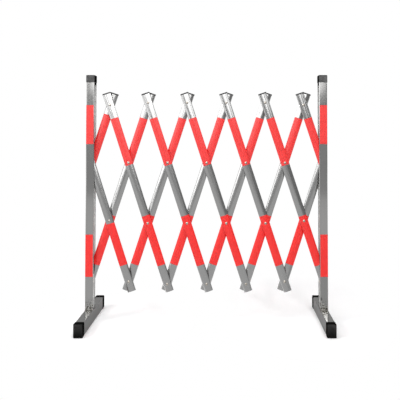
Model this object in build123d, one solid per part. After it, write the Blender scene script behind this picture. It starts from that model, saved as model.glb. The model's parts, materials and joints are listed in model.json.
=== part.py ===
from build123d import *

import os
from collections import namedtuple
from functools import cache
from math import cos, radians, sin

# Expandable scissor barrier: two slotted posts on feet, joined by a riveted lattice of oval tubes.
# Millimetres, +Z up, +X along the barrier, -Y towards the front. The origin is on the floor, midway
# between the posts. Front bars lean to the left and rear bars to the right. Half a turn about Z takes
# the front bars to the rear bars and the left post to the right post.

# Lattice
top_crossings = 6
rivet_pitch = 308.4
rest_angle = 18.03
end_inset = 24.0
bottom_row_height = 184.9
layer_gap = 1.6

# Oval bar tube
bar_width = 40.0
bar_depth = 14.0
bar_edge_radius = 4.0
bar_wall = 0.8
top_overhang = 43.5
bottom_overhang = 37.5
nose_margin = 0.4

# Rivets, pins and their play
rivet_radius = 3.0
rivet_head_radius = 6.2
rivet_head_height = 2.6
rivet_tail_radius = 5.4
rivet_tail_height = 2.0
collar_radius = 6.0
pin_radius = 4.0
trunnion_radius = 6.0
running_clearance = 0.05
press_clearance = 0.02

# Plugs in the top ends of the bars
plug_flange = 6.5
plug_stem = 22.0
plug_stem_wall = 2.0
plug_edge_chamfer = 1.0
plug_clearance = 0.1
flange_gap = 0.2

# Red bands, measured along a bar from its upper middle or lower middle rivet
tape_thickness = 0.3
upper_tape_above = 229.0
upper_tape_below = 11.5
lower_tape_above = 38.5
lower_tape_below = 213.5
raised_tape = 19.0
lowered_tape = 51.0

# Posts, slotted channels open towards the lattice
barrier_height = 1200.0
post_width = 40.0
post_wall = 1.5
post_corner = 3.0
post_lip = 2.0
slot_clearance = 1.7
nose_clearance = 0.6
post_tape_upper_low = 862.5
post_tape_upper_high = 1053.0
post_tape_lower_low = 221.0
post_tape_lower_high = 425.0

# Feet
foot_width = 40.0
foot_height = 60.0
foot_length = 400.0
foot_wall = 1.5
foot_corner = 3.0

# Push-over end caps
cap_wall = 1.5
cap_top = 3.0
cap_clearance = 0.1
cap_round = 4.0
post_cap_height = 36.0
foot_cap_length = 28.0
rib_border = 7.0
rib_height = 0.6
rib_width = 1.4
rib_pitch = 3.8

# Sliding shoes
slider_height = 44.0
slider_clearance = 0.35
slider_chamfer = 2.0

# Where the rows and layers lie
lean_sine = sin(radians(rest_angle))
lean_cosine = cos(radians(rest_angle))
half_pitch = rivet_pitch * lean_sine
row_spacing = rivet_pitch * lean_cosine
upper_row_height = bottom_row_height + 2 * row_spacing
layer_offset = (layer_gap + bar_depth) / 2
TOP_ROW, UPPER_ROW, LOWER_ROW, BOTTOM_ROW = range(4)

# Oval section: two crown arcs running into two edge arcs, which stay under half the depth
edge_limit = 0.4
edge_radius = min(bar_edge_radius, edge_limit * bar_depth)
edge_centre = bar_width / 2 - edge_radius
crown_rise = edge_centre**2 + (bar_depth / 2) ** 2 - edge_radius**2
crown_radius = crown_rise / (bar_depth - 2 * edge_radius)
crown_centre = bar_depth / 2 - crown_radius
nose_radius = bar_width / 2 + nose_margin

# Post section and its place: the rounded bar ends just clear the closed wall of the channel
slot_width = layer_gap + 2 * (bar_depth + slot_clearance)
channel_depth = slot_width + 2 * post_lip
post_depth = channel_depth + 2 * post_wall
channel_width = post_width - 2 * post_wall
pivot_inset = nose_radius + nose_clearance - channel_width / 2
pivot_place = top_crossings * half_pitch - end_inset * lean_sine
post_place = pivot_place + pivot_inset
foot_bottom = cap_wall + cap_clearance
foot_top = foot_bottom + foot_height

half_turn = Rot(0, 0, 180)
along_y = Rot(90, 0, 0)


def even_station(row):
    """Distance of an evenly spaced row from the upper row, along a bar."""
    return (UPPER_ROW - row) * rivet_pitch


def row_height(row):
    return upper_row_height + (UPPER_ROW - row) * row_spacing


def row_place(bar, row):
    """Place of a front bar's rivet along the barrier, in half pitches from the middle."""
    return 2 * bar - top_crossings + row - UPPER_ROW


def crossing_bar(bar, row):
    """The bar of the other layer that shares a rivet, counted in its own layer."""
    return (top_crossings - row_place(bar, row) - row + UPPER_ROW) // 2


def set_in(bar):
    """How far an end bar is moved along the bars that cross it, which makes the end cells shorter.

    A shoe stands where one bar more would cross, and is moved twice as far.
    """
    if bar < 0:
        return end_inset
    if bar == 0:
        return end_inset / 2
    return -end_inset / 2 if bar == top_crossings else 0.0


def station(bar, row):
    """Distance of a rivet from the bar's own upper row point, along the bar."""
    return even_station(row) + set_in(crossing_bar(bar, row))


# A bar's kind: the rivet rows that it spans, the row at which a post holds one of its ends, the places of
# its holes and the places of its ends
Kind = namedtuple("Kind", "first last post_row holes low high")


def bar_kind(bar):
    """The first and last bars end in a post at the upper row, and the last but one at the bottom row.

    The free ends of all bars lie level, so a bar that is set in is cut longer or shorter by as much.
    """
    first = UPPER_ROW if bar == 0 else TOP_ROW
    last = UPPER_ROW if bar == top_crossings else BOTTOM_ROW
    low = even_station(last) - bottom_overhang - set_in(bar)
    high = even_station(first) + top_overhang - set_in(bar)
    post_row = None
    if abs(row_place(bar, first)) == top_crossings:
        post_row = first
        high = station(bar, first) + nose_radius
    if abs(row_place(bar, last)) == top_crossings:
        post_row = last
        low = station(bar, last) - nose_radius
    holes = tuple(station(bar, row) for row in range(first, last + 1))
    return Kind(first, last, post_row, holes, low, high)


def rows_of(kind):
    return range(kind.first, kind.last + 1)


def bar_name(layer, bar):
    """Bars are numbered from the left, and the rear layer is the front one turned round."""
    number = bar + 1 if layer == "front" else top_crossings + 1 - bar
    return f"{layer}_bar_{number}"


def cross_pin(radius, length, height=0.0):
    """Round bar along Y, at a height."""
    return Pos(0, 0, height) * along_y * Cylinder(radius, length)


def oval(grow=0.0):
    """Section of the bar tube, grown outwards by a thickness."""
    reach = (crown_radius + grow) / (crown_radius - edge_radius)
    side = reach * edge_centre
    rise = crown_centre - reach * crown_centre
    tip = bar_width / 2 + grow
    crest = bar_depth / 2 + grow
    front = ThreePointArc((-side, -rise), (0, -crest), (side, -rise))
    right = ThreePointArc((side, -rise), (tip, 0), (side, rise))
    rear = ThreePointArc((side, rise), (0, crest), (-side, rise))
    left = ThreePointArc((-side, rise), (-tip, 0), (-side, -rise))
    return make_face([front, right, rear, left])


def sleeve(outer, inner, low, high):
    """Length of oval tube between two grown sections."""
    return extrude(Pos(0, 0, low) * (oval(outer) - oval(inner)), high - low)


def nose_waste(height, side):
    """What is cut from a bar to round its end about a pivot, above it or below it."""
    block = Box(2 * bar_width, 3 * bar_depth, 2 * nose_radius)
    beyond = Pos(0, 0, height + side * nose_radius) * block
    return beyond - cross_pin(nose_radius, 4 * bar_depth, height)


def hole_radius(kind, row):
    if row != kind.post_row:
        return rivet_radius + running_clearance
    if row == UPPER_ROW:
        return pin_radius + running_clearance
    return trunnion_radius + running_clearance


def drill_and_round(solid, kind):
    """Rivet holes and a rounded post end, as they fall in a bar or in its bands."""
    for row, height in zip(rows_of(kind), kind.holes):
        solid -= cross_pin(hole_radius(kind, row), 3 * bar_depth, height)
        if row == kind.post_row:
            solid -= nose_waste(height, 1 if row == kind.first else -1)
    return solid


@cache
def bar_tube(kind):
    return drill_and_round(sleeve(0, -bar_wall, kind.low, kind.high), kind)


def tape_spans(layer, bar):
    """Low and high ends of a bar's red bands. Two of them are stuck on higher or lower than the rest."""
    name = bar_name(layer, bar)
    rows = rows_of(bar_kind(bar))
    spans = []
    if TOP_ROW in rows:
        shift = raised_tape if name == "rear_bar_1" else 0.0
        upper = even_station(UPPER_ROW) - set_in(bar)
        spans.append((upper - upper_tape_below, upper + upper_tape_above + shift))
    if LOWER_ROW in rows:
        shift = lowered_tape if name == "front_bar_1" else 0.0
        lower = even_station(LOWER_ROW) - set_in(bar)
        spans.append((lower - lower_tape_below, lower + lower_tape_above - shift))
    return spans


@cache
def bar_tape(kind, low, high):
    return drill_and_round(sleeve(tape_thickness, 0, low, high), kind)


def tape_under(layer, bar, row):
    """Thickness of band under a rivet head on a bar."""
    height = station(bar, row)
    for low, high in tape_spans(layer, bar):
        if low - rivet_head_radius < height < high + rivet_head_radius:
            return tape_thickness
    return 0.0


@cache
def top_plug(kind):
    """Plug with a bevelled flange on the tube's end and a hollow stem inside the tube."""
    top = kind.high
    flange = extrude(Pos(0, 0, top) * oval(layer_gap / 2 - flange_gap), plug_flange)
    flange = chamfer(flange.faces().sort_by(Axis.Z)[-1].edges(), plug_edge_chamfer)
    stem_out = -bar_wall - plug_clearance
    return flange + sleeve(stem_out, stem_out - plug_stem_wall, top - plug_stem, top)


def in_layer(layer, bar, solid):
    """Lean a bar's piece over and move it to its place in the front or the rear layer."""
    along = row_place(bar, UPPER_ROW) * half_pitch + set_in(bar) * lean_sine
    height = upper_row_height + set_in(bar) * lean_cosine
    front = Pos(along, -layer_offset, height) * Rot(0, -rest_angle, 0) * solid
    return front if layer == "front" else half_turn * front


@cache
def rivet(front_tape, rear_tape):
    """Domed head in front, collar between the layers and formed tail behind, turned about Y."""
    face = layer_gap / 2 + bar_depth + running_clearance
    head = -face - front_tape
    tail = face + rear_tape
    head_top = head - rivet_head_height
    tail_top = tail + rivet_tail_height
    collar_front = front_tape + running_clearance - layer_gap / 2
    collar_rear = layer_gap / 2 - running_clearance - rear_tape
    axis = Line((0, head_top), (0, tail_top))
    head_dome = TangentArc((0, head_top), (rivet_head_radius, head), tangent=(1, 0))
    tail_dome = TangentArc((0, tail_top), (rivet_tail_radius, tail), tangent=(1, 0))
    shank = Polyline(
        (rivet_head_radius, head),
        (rivet_radius, head),
        (rivet_radius, collar_front),
        (collar_radius, collar_front),
        (collar_radius, collar_rear),
        (rivet_radius, collar_rear),
        (rivet_radius, tail),
        (rivet_tail_radius, tail),
    )
    return revolve(make_face([axis, head_dome, shank, tail_dome]), Axis.Y)


def bar_rivets(bar):
    """The rivets that ride on a front bar."""
    kind = bar_kind(bar)
    rivets = []
    for row in rows_of(kind):
        if row == kind.post_row:
            continue
        other = crossing_bar(bar, row)
        turned = rivet(tape_under("front", bar, row), tape_under("rear", other, row))
        place = row_place(bar, row) * half_pitch + (set_in(bar) - set_in(other)) * lean_sine
        height = row_height(row) + (set_in(bar) + set_in(other)) * lean_cosine
        rivets.append(Pos(place, 0, height) * turned)
    return rivets


def rounded(width, depth, corner, grow=0.0):
    return RectangleRounded(width + 2 * grow, depth + 2 * grow, corner + grow)


def post_channel():
    """Square tube with a slot down the side that faces the lattice, +X here."""
    outline = rounded(post_width, post_depth, post_corner)
    section = outline - rounded(post_width, post_depth, post_corner, -post_wall)
    section -= Pos(post_width / 2, 0) * Rectangle(4 * post_wall, slot_width)
    channel = extrude(Pos(0, 0, foot_top) * section, barrier_height - cap_top - foot_top)
    bore = cross_pin(pin_radius + press_clearance, 2 * post_depth, upper_row_height)
    return channel - Pos(pivot_inset, 0, 0) * bore


def post_tape(low, high):
    """Band round the three closed sides of a post."""
    band = rounded(post_width, post_depth, post_corner, tape_thickness)
    band -= rounded(post_width, post_depth, post_corner)
    band -= Pos(post_width, 0) * Rectangle(post_width + 2 * post_corner, 2 * post_depth)
    return extrude(Pos(0, 0, low) * band, high - low)


def foot_tube():
    section = rounded(foot_width, foot_height, foot_corner)
    section -= rounded(foot_width, foot_height, foot_corner, -foot_wall)
    length = foot_length - 2 * cap_top
    return Pos(0, 0, foot_bottom + foot_height / 2) * along_y * extrude(section, length / 2, both=True)


def end_cap(width, depth, corner, length):
    """Cap that pushes over a tube's end, open downwards."""
    shell = extrude(rounded(width, depth, corner, cap_clearance + cap_wall), length)
    shell = fillet(shell.faces().sort_by(Axis.Z)[-1].edges(), cap_round)
    return shell - extrude(rounded(width, depth, corner, cap_clearance), length - cap_top)


def rib_grooves(width, depth):
    """Grooves in a shallow field on a cap's end, which leave upright ribs standing."""
    field = Box(width - 2 * rib_border, depth - 2 * rib_border, 2 * rib_height)
    count = int((width - 2 * rib_border) / rib_pitch)
    for place in GridLocations(rib_pitch, 0, count, 1):
        field -= place * Box(rib_width, depth, 2 * rib_height)
    return field


def end_caps():
    post_cap = end_cap(post_width, post_depth, post_corner, post_cap_height)
    foot_cap = end_cap(foot_width, foot_height, foot_corner, foot_cap_length)
    foot_cap -= Pos(0, 0, foot_cap_length) * rib_grooves(foot_width, foot_height)
    foot_end = foot_length / 2 - foot_cap_length
    foot_middle = foot_bottom + foot_height / 2
    front = Pos(0, -foot_end, foot_middle) * along_y * foot_cap
    return [Pos(0, 0, barrier_height - post_cap_height) * post_cap, front, half_turn * front]


def pivot_pin():
    return Pos(pivot_inset, 0, 0) * cross_pin(pin_radius, post_depth, upper_row_height)


def slider():
    """Shoe in the front half of the left channel, its trunnion in the end of a rear bar."""
    half_depth = channel_depth / 2 - slider_clearance
    shoe_rear = layer_gap / 2 - slider_clearance
    shoe = Box(channel_width - 2 * slider_clearance, half_depth + shoe_rear, slider_height)
    shoe = chamfer(shoe.edges().filter_by(Axis.X, reverse=True), slider_chamfer)
    shoe = Pos(0, (shoe_rear - half_depth) / 2, 0) * shoe
    trunnion_length = half_depth - shoe_rear
    trunnion = cross_pin(trunnion_radius, trunnion_length)
    shoe += Pos(pivot_inset, shoe_rear + trunnion_length / 2, 0) * trunnion
    return Pos(0, 0, row_height(BOTTOM_ROW) + end_inset * lean_cosine) * shoe


def bar_nodes():
    nodes = {}
    for layer in ("front", "rear"):
        for bar in range(top_crossings + 1):
            name = bar_name(layer, bar)
            kind = bar_kind(bar)
            nodes[name] = [in_layer(layer, bar, bar_tube(kind))]
            bands = [bar_tape(kind, low, high) for low, high in tape_spans(layer, bar)]
            nodes[f"{name}_tapes"] = [in_layer(layer, bar, band) for band in bands]
            if TOP_ROW in rows_of(kind):
                nodes[f"{name}_plug"] = [in_layer(layer, bar, top_plug(kind))]
            if layer == "front":
                nodes[f"{name}_rivets"] = bar_rivets(bar)
    return nodes


def post_nodes():
    tapes = [
        post_tape(post_tape_upper_low, post_tape_upper_high),
        post_tape(post_tape_lower_low, post_tape_lower_high),
    ]
    pieces = {
        "post": [post_channel()],
        "post_tapes": tapes,
        "foot": [foot_tube()],
        "end_caps": end_caps(),
        "pivot_pin": [pivot_pin()],
        "slider": [slider()],
    }
    left = Pos(-post_place, 0, 0)
    nodes = {}
    for name, solids in pieces.items():
        nodes[f"left_{name}"] = [left * solid for solid in solids]
        nodes[f"right_{name}"] = [half_turn * left * solid for solid in solids]
    return nodes


os.makedirs("parts", exist_ok=True)
for name, solids in {**post_nodes(), **bar_nodes()}.items():
    export_step(Compound(solids), f"parts/{name}.step")
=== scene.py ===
import json
from collections import namedtuple
from math import atan2, cos, hypot, pi, radians, sin

import bpy
import numpy as np
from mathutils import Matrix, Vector

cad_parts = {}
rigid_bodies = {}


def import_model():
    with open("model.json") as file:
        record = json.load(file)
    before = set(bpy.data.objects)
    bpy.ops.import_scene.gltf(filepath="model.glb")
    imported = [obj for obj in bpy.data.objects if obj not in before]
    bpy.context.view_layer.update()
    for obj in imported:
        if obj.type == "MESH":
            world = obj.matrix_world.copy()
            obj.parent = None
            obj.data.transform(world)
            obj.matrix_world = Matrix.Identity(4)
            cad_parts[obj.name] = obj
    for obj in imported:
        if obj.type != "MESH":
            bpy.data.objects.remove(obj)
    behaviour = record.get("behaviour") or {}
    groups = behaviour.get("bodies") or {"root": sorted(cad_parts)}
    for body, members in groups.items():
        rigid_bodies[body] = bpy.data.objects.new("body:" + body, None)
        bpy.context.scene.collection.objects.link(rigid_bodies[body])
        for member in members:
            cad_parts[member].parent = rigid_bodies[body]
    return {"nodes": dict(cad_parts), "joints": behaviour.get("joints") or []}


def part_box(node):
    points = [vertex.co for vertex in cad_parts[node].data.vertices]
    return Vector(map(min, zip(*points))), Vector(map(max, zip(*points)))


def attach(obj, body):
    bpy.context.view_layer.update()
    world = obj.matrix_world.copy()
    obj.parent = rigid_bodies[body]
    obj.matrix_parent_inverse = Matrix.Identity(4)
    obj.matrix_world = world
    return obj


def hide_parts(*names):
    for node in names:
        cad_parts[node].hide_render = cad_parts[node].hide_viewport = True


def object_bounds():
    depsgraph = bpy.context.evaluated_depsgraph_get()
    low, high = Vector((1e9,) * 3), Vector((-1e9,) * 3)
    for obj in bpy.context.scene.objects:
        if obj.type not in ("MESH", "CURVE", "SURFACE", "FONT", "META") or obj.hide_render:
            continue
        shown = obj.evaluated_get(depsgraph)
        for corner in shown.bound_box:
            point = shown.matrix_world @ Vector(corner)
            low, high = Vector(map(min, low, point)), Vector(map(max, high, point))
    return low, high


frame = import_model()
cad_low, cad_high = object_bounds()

bl_info = {
    "name": "Expandable Barrier",
    "version": (1, 0, 0),
    "blender": (4, 5, 0),
    "location": "3D View > Sidebar > Barrier",
    "description": "Dresses the packed scissor barrier with fine meshes, finishes and a studio",
    "category": "Object",
}

# Where the lattice stands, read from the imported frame
JOINTS = {joint["name"]: joint for joint in frame["joints"]}
PIVOT = JOINTS["fold"]["pos_m"]
UPPER_CROSSING = JOINTS["rear_2_to_front_2"]["pos_m"]
LOWER_CROSSING = JOINTS["front_2_to_rear_3"]["pos_m"]
HALF_PITCH = LOWER_CROSSING[0] - UPPER_CROSSING[0]
ROW_SPACING = UPPER_CROSSING[2] - LOWER_CROSSING[2]
RIVET_PITCH = hypot(HALF_PITCH, ROW_SPACING)
LEAN = atan2(HALF_PITCH, ROW_SPACING)
LAST_BAR = sum(name.startswith("front_") and "_to_rear_" in name for name in JOINTS)
END_INSET = (LAST_BAR * HALF_PITCH + PIVOT[0]) / sin(LEAN)
LEFT_POST_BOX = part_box("left_post")
POST_PLACE = -(LEFT_POST_BOX[0].x + LEFT_POST_BOX[1].x) / 2
FOOT_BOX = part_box("left_foot")
FOOT_MIDDLE = (FOOT_BOX[0].z + FOOT_BOX[1].z) / 2
SIDES = (("left", -1.0), ("right", 1.0))

# Rivet rows, in rivet pitches above the row that turns on the posts' pins
TOP, UPPER, LOWER, BOTTOM = 1, 0, -1, -2

# How finely curves are divided
CROWN_STEPS = 18
EDGE_STEPS = 12
CORNER_STEPS = 7
TURN_STEPS = 36
ROUND_STEPS = 6
POST_ROWS = 9
FOOT_ROWS = 7
SHARP_ANGLE = radians(38)

# Fine edges in metres, too small to be changed by a user
SUPPORT = 0.0004
FINE_EDGE = 0.0003
TINY_EDGE = 0.0002
TUBE_BEVEL = 0.00018
PEENED_EDGE = 0.0006
MOULDED_EDGE = 0.001
WEAR_FADE = 0.003

# Where a band starts in its own thickness, its bevel, and how far a bead stands out, as shares
BAND_BASE = 0.1
BAND_BEVEL = 0.25
BEAD_STAND = 0.3

# How far wear reaches from an end, the grain's shift from bar to bar, and the first weld's seed
RUB_REACH = 0.006
FLOW_SHIFT = 2.3
WELD_SEED = 3

# The studio: a wall behind the camera, half the room's width and its height, and plain white
WALL = -4.7
ROOM = 9.0
CEILING = 5.0
WHITE = (1.0, 1.0, 1.0, 1.0)


def length(name, description, default):
    return bpy.props.FloatProperty(
        name=name, description=description, default=default, min=0.0, unit="LENGTH", precision=4
    )


def share(name, description, default):
    return bpy.props.FloatProperty(
        name=name, description=description, default=default, min=0.0, max=1.0, subtype="FACTOR"
    )


def colour(name, description, default):
    return bpy.props.FloatVectorProperty(
        name=name, description=description, default=default, size=3, min=0.0, max=1.0, subtype="COLOR"
    )


class BarrierSizes(bpy.types.PropertyGroup):
    """Sizes of the barrier's pieces, in metres."""

    bar_width: length("Bar Width", "Width of the oval bar tube", 0.040)
    bar_depth: length("Bar Depth", "Depth of the oval bar tube, front to back", 0.014)
    bar_edge: length("Bar Edge Radius", "Radius of the narrow edges of the oval", 0.004)
    bar_wall: length("Bar Wall", "Wall of the bar tube", 0.0008)
    layer_gap: length("Layer Gap", "Gap between the front and the rear layer of bars", 0.0016)
    top_overhang: length("Top Overhang", "Bar above its top rivet", 0.0435)
    bottom_overhang: length("Bottom Overhang", "Bar below its bottom rivet", 0.0375)
    nose_radius: length("Nose Radius", "Rounding of a bar end that turns inside a post", 0.0204)
    plug_flange: length("Plug Flange", "Thickness of a plug's flange", 0.0065)
    plug_stem: length("Plug Stem", "Depth of a plug inside its tube", 0.022)
    plug_lip: length("Plug Lip", "How far a plug's flange stands out from its tube", 0.0006)
    plug_round: length("Plug Rounding", "Rounding of a plug's top edge", 0.0012)
    band_thickness: length("Band Thickness", "Thickness of the red film", 0.0003)
    upper_band_above: length("Upper Band Above", "Upper band above the upper middle rivet", 0.229)
    upper_band_below: length("Upper Band Below", "Upper band below the upper middle rivet", 0.0115)
    lower_band_above: length("Lower Band Above", "Lower band above the lower middle rivet", 0.0385)
    lower_band_below: length("Lower Band Below", "Lower band below the lower middle rivet", 0.2135)
    raised_band: length("Raised Band", "How much higher the first rear bar's band reaches", 0.019)
    lowered_band: length("Lowered Band", "How much lower the first front bar's band starts", 0.040)
    rivet_radius: length("Rivet Shank", "Radius of a rivet's shank", 0.003)
    head_radius: length("Rivet Head Radius", "Radius of a rivet's domed head", 0.0062)
    head_height: length("Rivet Head Height", "Height of a rivet's domed head", 0.0026)
    tail_radius: length("Rivet Tail Radius", "Radius of a rivet's formed tail", 0.0054)
    tail_height: length("Rivet Tail Height", "Height of a rivet's formed tail", 0.002)
    collar_radius: length("Collar Radius", "Radius of the spacing collar between the layers", 0.006)
    post_width: length("Post Width", "Width of a post, both ways", 0.040)
    post_wall: length("Post Wall", "Wall of a post", 0.0015)
    post_corner: length("Post Corner", "Corner radius of a post", 0.003)
    slot_width: length("Slot Width", "Slot down the inner side of a post", 0.033)
    pin_radius: length("Pin Radius", "Radius of a post's pivot pin", 0.004)
    pin_dome: length("Pin Dome", "How far a pin's peened ends stand out", 0.0001)
    upper_post_band_low: length("Upper Post Band Low", "Height of the upper post band's lower end", 0.8625)
    upper_post_band_high: length("Upper Post Band High", "Height of the upper post band's upper end", 1.053)
    lower_post_band_low: length("Lower Post Band Low", "Height of the lower post band's lower end", 0.221)
    lower_post_band_high: length("Lower Post Band High", "Height of the lower post band's upper end", 0.425)
    foot_width: length("Foot Width", "Width of a foot's tube", 0.040)
    foot_height: length("Foot Height", "Height of a foot's tube", 0.060)
    foot_wall: length("Foot Wall", "Wall of a foot's tube", 0.0015)
    foot_corner: length("Foot Corner", "Corner radius of a foot's tube", 0.003)
    cap_wall: length("Cap Wall", "Wall of an end cap", 0.0015)
    cap_top: length("Cap Top", "Thickness of an end cap's closed end", 0.003)
    cap_play: length("Cap Play", "Gap between an end cap and its tube", 0.0001)
    cap_round: length("Cap Rounding", "Rounding of an end cap's outer edges", 0.004)
    post_cap_length: length("Post Cap Length", "Length of a post's cap", 0.036)
    foot_cap_length: length("Foot Cap Length", "Length of a foot's cap", 0.028)
    # The stopper's black lower end below the cap is partly painted shade, a dark part where the cap's shade
    # falls.
    stopper_drop: length("Stopper Drop", "How far a post cap's stopper shows below the cap", 0.012)
    rib_border: length("Rib Border", "Border round the ribbed field on a foot's caps", 0.007)
    rib_depth: length("Rib Depth", "Depth of the ribbed field on a foot's caps", 0.0006)
    rib_radius: length("Rib Radius", "Radius of the fine ribs on a foot's caps", 0.0007)
    rib_spacing: length("Rib Spacing", "Distance between the ribs on a foot's caps", 0.0038)
    weld_bead: length("Weld Bead", "Radius of the weld bead at a post's base", 0.0026)
    weld_spacing: length("Weld Spacing", "Distance between the ripples of a weld bead", 0.0021)


class BarrierFinish(bpy.types.PropertyGroup):
    """Colours and finishes of the barrier's pieces."""

    bar_steel: colour("Bar Steel", "Satin steel of the bars", (0.45, 0.45, 0.447))
    post_steel: colour("Post Steel", "Satin steel of the posts", (0.44, 0.438, 0.432))
    foot_steel: colour("Foot Steel", "Satin steel of the feet", (0.26, 0.258, 0.254))
    rivet_steel: colour("Rivet Steel", "Bright steel of the rivets and pins", (0.38, 0.35, 0.31))
    # The inner zinc is real; its pale, barely metallic colour is painted light that lifts the shade inside
    # the slot.
    inner_zinc_painted_light: colour("Inner Zinc", "Dull zinc inside the posts", (0.74, 0.74, 0.73))
    weld_steel: colour("Weld Steel", "Burnt steel of the welds", (0.30, 0.29, 0.27))
    band_red: colour("Band Red", "Red reflective film", (0.85, 0.014, 0.011))
    # Painted light: the bands are painted paler high up than low down.
    painted_lit_high_red: colour("Painted Lit High Red", "The same high up, faded by light", (0.83, 0.036, 0.034))
    cap_black: colour("Cap Black", "Black moulded plastic", (0.003, 0.003, 0.003))
    # Painted light: the caps' front and rear faces are painted lighter than their sides and tops, and paler
    # again high up.
    painted_lit_front_black: colour("Painted Lit Front Black", "Black plastic on front and rear faces", (0.044, 0.044, 0.044))
    painted_lit_high_black: colour("Painted Lit High Black", "The same high up, greyed by light", (0.115, 0.115, 0.115))
    shoe_nylon: colour("Shoe Nylon", "Moulded nylon of the sliding shoes", (0.72, 0.70, 0.64))
    bar_roughness: share("Bar Roughness", "Roughness of the bars", 0.16)
    post_roughness: share("Post Roughness", "Roughness of the posts and feet", 0.1)


# Meshes


def add_piece(name, mesh, body, finish, slot, *nodes):
    """Stands a mesh in the scene with its finish and its body, and hides the CAD nodes that it stands for."""
    # The facing share carries painted light: the plastic finish paints faces that look to the front or rear
    # lighter than sides and tops.
    facing = mesh.attributes.new("facing", "FLOAT", "FACE")
    facing.data.foreach_set("value", [abs(face.normal.y) for face in mesh.polygons])
    mesh.set_sharp_from_angle(angle=SHARP_ANGLE)
    if not mesh.materials:
        mesh.materials.append(finish_of(finish))
    piece = bpy.data.objects.new(name, mesh)
    bpy.context.scene.collection.objects.link(piece)
    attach(piece, body)
    if nodes:
        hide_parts(*nodes)
    return piece


class Skin:
    """Collects closed shells and makes one smooth mesh of them."""

    def __init__(self):
        self.points = []
        self.faces = []
        self.places = []
        self.rub = []

    def add(self, loops, capped=False, around=None, along=None, rub=0.0):
        """Skins the loops in order. A capped shell ends in two flat faces, and any other closes on itself."""
        loops = np.asarray(loops, float)
        rows, count, _ = loops.shape
        first = len(self.points)
        self.points.extend(map(tuple, loops.reshape(-1, 3)))
        self.rub.extend(np.broadcast_to(np.transpose(rub), (count, rows)).T.ravel())
        faces, places = [], []
        for row in range(rows - 1 if capped else rows):
            after = (row + 1) % rows
            for step in range(count):
                turn = (step + 1) % count
                corners = ((row, step), (row, turn), (after, turn), (after, step))
                faces.append([first + r * count + s for r, s in corners])
                if along is None:
                    places.append([(0.0, 0.0)] * 4)
                    continue
                ends = (around[step], around[step + 1], around[step + 1], around[step])
                places.append([(u, along[r][s]) for u, (r, s) in zip(ends, corners)])
        if capped:
            faces.append([first + step for step in reversed(range(count))])
            faces.append([first + (rows - 1) * count + step for step in range(count)])
            places.extend([[(0.0, 0.0)] * count] * 2)
        if self.volume(faces) < 0:
            faces = [face[::-1] for face in faces]
            places = [corners[::-1] for corners in places]
        self.faces.extend(faces)
        self.places.extend(place for corners in places for place in corners)

    def volume(self, faces):
        """Six times the signed volume that the faces enclose."""
        points = np.array(self.points)
        total = 0.0
        for face in faces:
            fan = points[face[1:]]
            total += np.sum(np.cross(fan[:-1], fan[1:]) @ points[face[0]])
        return total

    def mesh(self, name):
        """The shells as one mesh, with its flow map and its wear."""
        mesh = bpy.data.meshes.new(name)
        mesh.from_pydata(self.points, [], self.faces)
        flow = mesh.uv_layers.new(name="Along")
        flow.data.foreach_set("uv", np.array(self.places, np.float32).ravel())
        rub = mesh.attributes.new("rub", "FLOAT", "POINT")
        rub.data.foreach_set("value", np.array(self.rub, np.float32))
        mesh.shade_smooth()
        return mesh

    def piece(self, name, *looks):
        return add_piece(name, self.mesh(name), *looks)


def arc(centre, radius, start, end, steps):
    angles = np.linspace(start, end, steps + 1)
    return [(centre[0] + radius * cos(angle), centre[1] + radius * sin(angle)) for angle in angles]


def oval_loop(sizes, grow=0.0):
    """Section of the bar tube, grown outwards: across the bar and inwards from its face."""
    edge_centre = sizes.bar_width / 2 - sizes.bar_edge
    half_depth = sizes.bar_depth / 2
    rise = edge_centre**2 + half_depth**2 - sizes.bar_edge**2
    crown_radius = rise / (2 * (half_depth - sizes.bar_edge))
    crown_centre = crown_radius - half_depth
    half_crown = atan2(edge_centre, crown_centre)
    half_edge = pi / 2 - half_crown
    points = []
    for side in (1, -1):
        middle = -side * pi / 2
        place = (0, side * crown_centre)
        points += arc(place, crown_radius + grow, middle - half_crown, middle + half_crown, CROWN_STEPS)[:-1]
        middle = pi / 2 - side * pi / 2
        place = (side * edge_centre, 0)
        points += arc(place, sizes.bar_edge + grow, middle - half_edge, middle + half_edge, EDGE_STEPS)[:-1]
    return np.array(points)


def lengths_round(loop):
    """Distance round a closed loop at each point, and at the first point again."""
    steps = np.linalg.norm(np.roll(loop, -1, axis=0) - loop, axis=1)
    return np.concatenate([[0.0], np.cumsum(steps)])


def rounded_loop(width, depth, corner, grow=0.0):
    """A rectangle with rounded corners, grown outwards, with a supporting point on each side of a corner."""
    x = width / 2 - corner
    y = depth / 2 - corner
    points = []
    for side_x, side_y, start in ((1, 1, 0), (-1, 1, pi / 2), (-1, -1, pi), (1, -1, 3 * pi / 2)):
        turned = arc((side_x * x, side_y * y), corner + grow, start, start + pi / 2, CORNER_STEPS)
        points.append((turned[0][0] + SUPPORT * sin(start), turned[0][1] - SUPPORT * cos(start)))
        points += turned
        points.append((turned[-1][0] - SUPPORT * cos(start), turned[-1][1] - SUPPORT * sin(start)))
    return np.array(points)


def by_turn(points):
    """Points in order round the middle, from the side that faces the lattice."""
    return sorted(points, key=lambda point: atan2(point[1], point[0]) % (2 * pi))


def lift(loop, height):
    """A flat loop at a height."""
    return np.column_stack([loop, np.full(len(loop), height)])


def lathe(profile):
    """Loops of a shape turned about Y, from points of radius and place along Y."""
    angles = np.linspace(0, 2 * pi, TURN_STEPS, endpoint=False)
    return [
        np.column_stack([radius * np.cos(angles), np.full(TURN_STEPS, place), radius * np.sin(angles)])
        for radius, place in profile
    ]


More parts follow.
